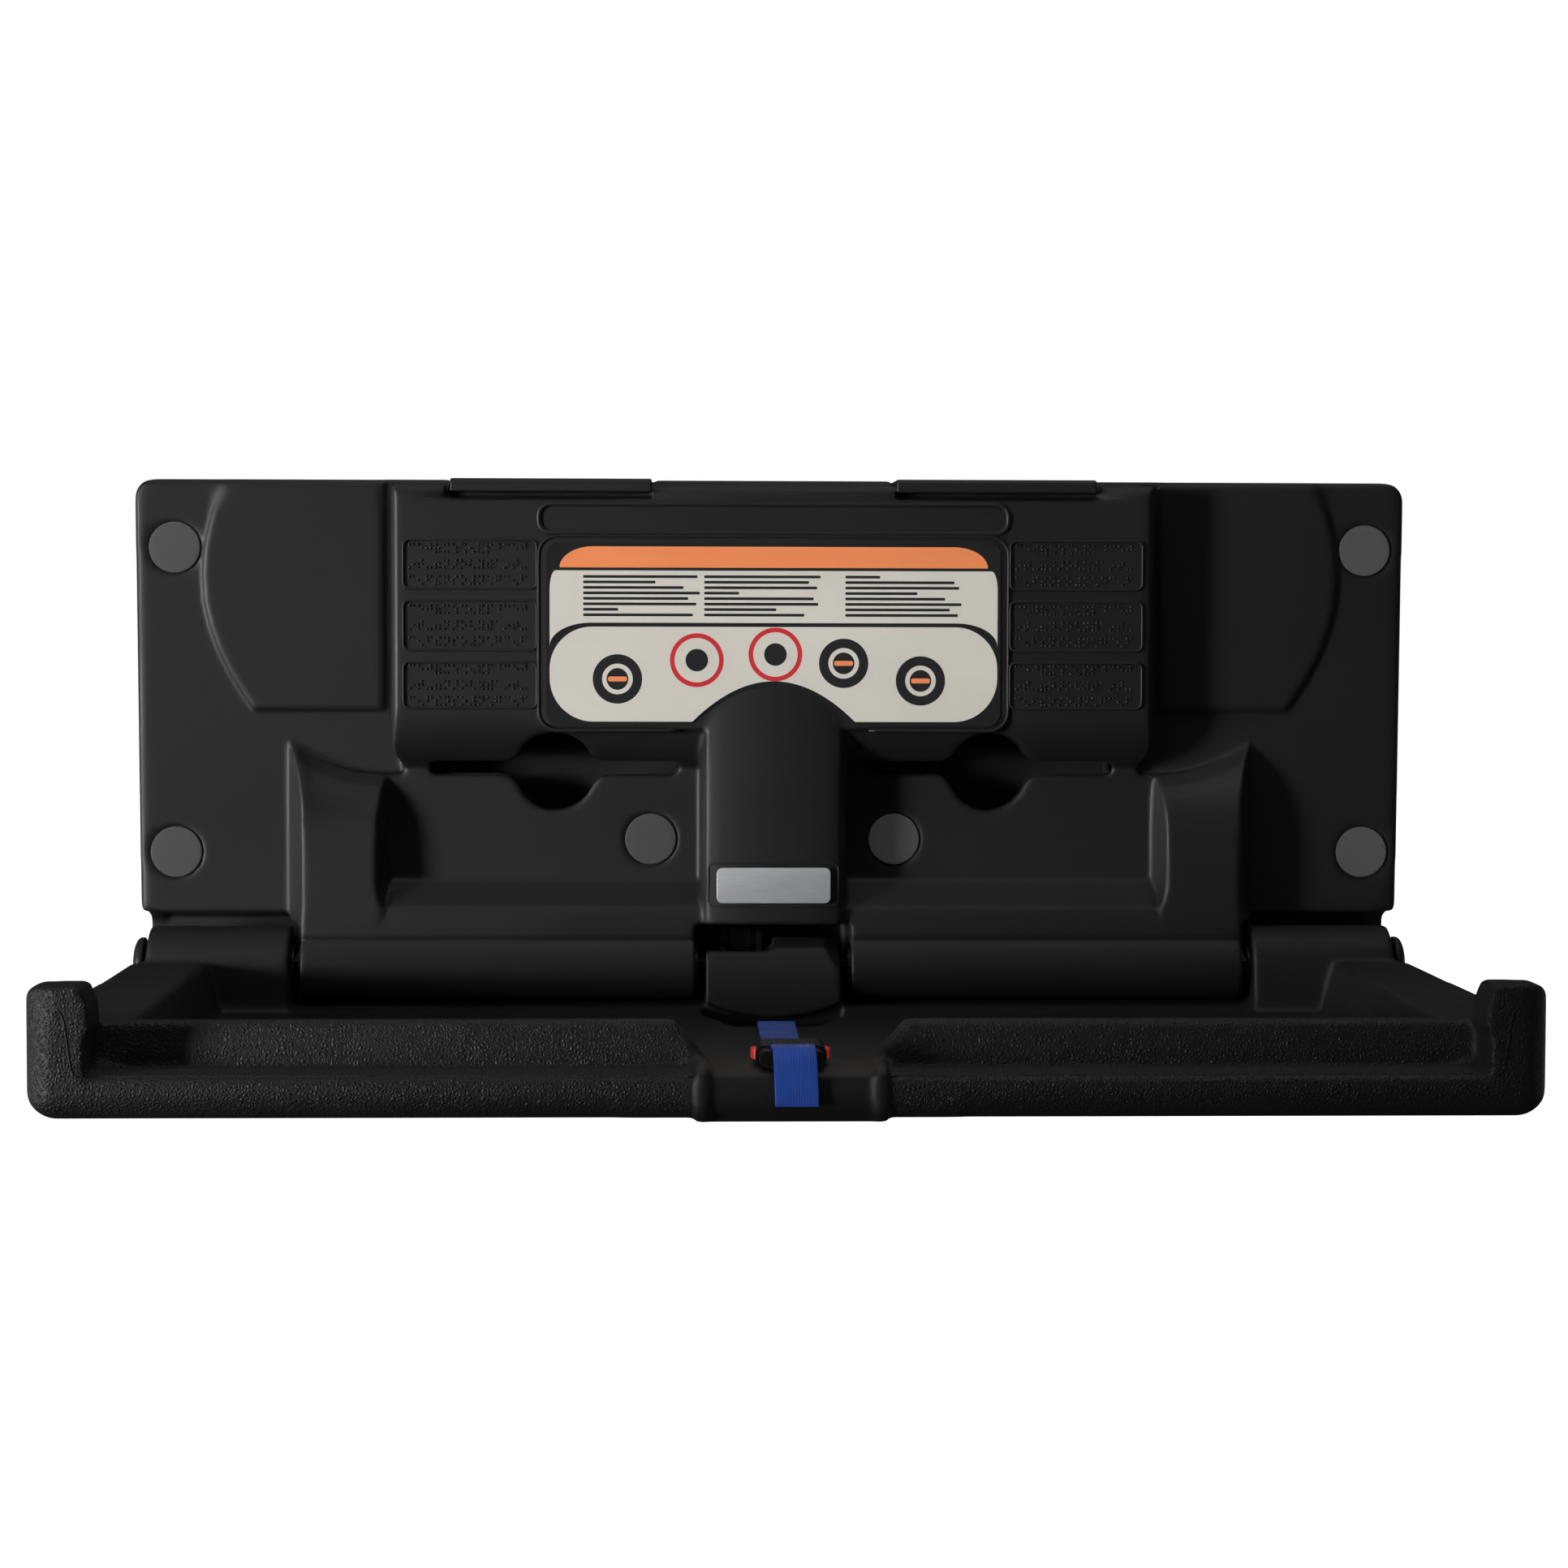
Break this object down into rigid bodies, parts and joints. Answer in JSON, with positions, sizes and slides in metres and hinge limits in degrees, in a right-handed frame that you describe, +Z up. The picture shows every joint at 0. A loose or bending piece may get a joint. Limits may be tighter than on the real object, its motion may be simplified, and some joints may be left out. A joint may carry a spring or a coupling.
{
  "type": "baby changing station",
  "caption": "Wall-mounted horizontal baby changing station with a fold-down moulded bed, safety strap and lidded liner dispensers.",
  "frame": {"origin": "on the back panel face that lies on the wall, mid width, level with the bed hinge axis", "axes": "+X to the right across the wall, +Y into the wall, +Z up; the bed is folded down towards -Y"},
  "size_m": [0.8934, 0.464, 0.3895],
  "materials": {
    "wall_plastic": "black satin moulded plastic",
    "bed_plastic": "black moulded plastic with a leather grain outside",
    "cap_grey": "mid grey satin plastic",
    "label_sheet": "printed vinyl sheet, cream and orange on black",
    "plate_silver": "brushed, bare",
    "bushing_plastic": "black nylon",
    "webbing_blue": "woven nylon webbing",
    "tab_red": "smooth",
    "buckle_plastic": "satin acetal",
    "cylinder_paint": "black paint",
    "rod_chrome": "polished",
    "steel": "zinc plated"
  },
  "bodies": {
    "wall_unit": {"back_panel": "steel", "wall_shell": "wall_plastic", "screw_cap_top_left": "cap_grey", "screw_cap_top_right": "cap_grey", "screw_cap_bottom_left": "cap_grey", "screw_cap_bottom_right": "cap_grey", "screw_cap_middle_left": "cap_grey", "screw_cap_middle_right": "cap_grey", "label_sheet": "label_sheet", "column_plate": "plate_silver", "liner_bin_left": "wall_plastic", "liner_bin_right": "wall_plastic", "lid_pin_left": "steel", "lid_pin_right": "steel", "hinge_rod": "steel", "hinge_cap_left": "wall_plastic", "hinge_cap_right": "wall_plastic", "wall_bushing_inner_left": "bushing_plastic", "wall_bushing_inner_right": "bushing_plastic", "wall_bushing_outer_left": "bushing_plastic", "wall_bushing_outer_right": "bushing_plastic", "spring_bracket": "cylinder_paint", "spring_pin": "steel", "spring_cylinder": "cylinder_paint"},
    "bed": {"bed_shell": "bed_plastic", "bed_bushing_inner_left": "bushing_plastic", "bed_bushing_inner_right": "bushing_plastic", "bed_bushing_outer_left": "bushing_plastic", "bed_bushing_outer_right": "bushing_plastic", "crank_cheek_left": "cylinder_paint", "crank_cheek_right": "cylinder_paint", "crank_pin": "steel", "strap_rear": "webbing_blue", "strap_front": "webbing_blue", "buckle_socket": "buckle_plastic", "buckle_tongue": "buckle_plastic"},
    "lid_left_body": {"lid_left": "wall_plastic"},
    "lid_right_body": {"lid_right": "wall_plastic"},
    "spring_rod_body": {"spring_rod": "rod_chrome", "rod_yoke": "cylinder_paint"},
    "tab_left_body": {"release_tab_left": "tab_red"},
    "tab_right_body": {"release_tab_right": "tab_red"}
  },
  "joints": [
    {"name": "bed_hinge", "type": "hinge", "parent": "wall_unit", "child": "bed", "pos_m": [0, -0.055, 0], "axis": [-1, 0, 0], "range_deg": [0, 90]},
    {"name": "rod_slide", "type": "slide", "parent": "wall_unit", "child": "spring_rod_body", "axis": [0, 0, -1], "range_m": [0, 0.034]},
    {"name": "lid_left_hinge", "type": "hinge", "parent": "wall_unit", "child": "lid_left_body", "pos_m": [-0.153, -0.02, 0.3315], "axis": [-1, 0, 0], "range_deg": [0, 100]},
    {"name": "lid_right_hinge", "type": "hinge", "parent": "wall_unit", "child": "lid_right_body", "pos_m": [0.153, -0.02, 0.3315], "axis": [-1, 0, 0], "range_deg": [0, 100]},
    {"name": "tab_left_press", "type": "slide", "parent": "bed", "child": "tab_left_body", "axis": [1, 0, 0], "range_m": [0, 0.0025], "stiffness_N_per_m": 600},
    {"name": "tab_right_press", "type": "slide", "parent": "bed", "child": "tab_right_body", "axis": [-1, 0, 0], "range_m": [0, 0.0025], "stiffness_N_per_m": 600}
  ],
  "couplings": [
    {"joint": "rod_slide", "follows": "bed_hinge", "m_per_rad": 0.0216}
  ]
}
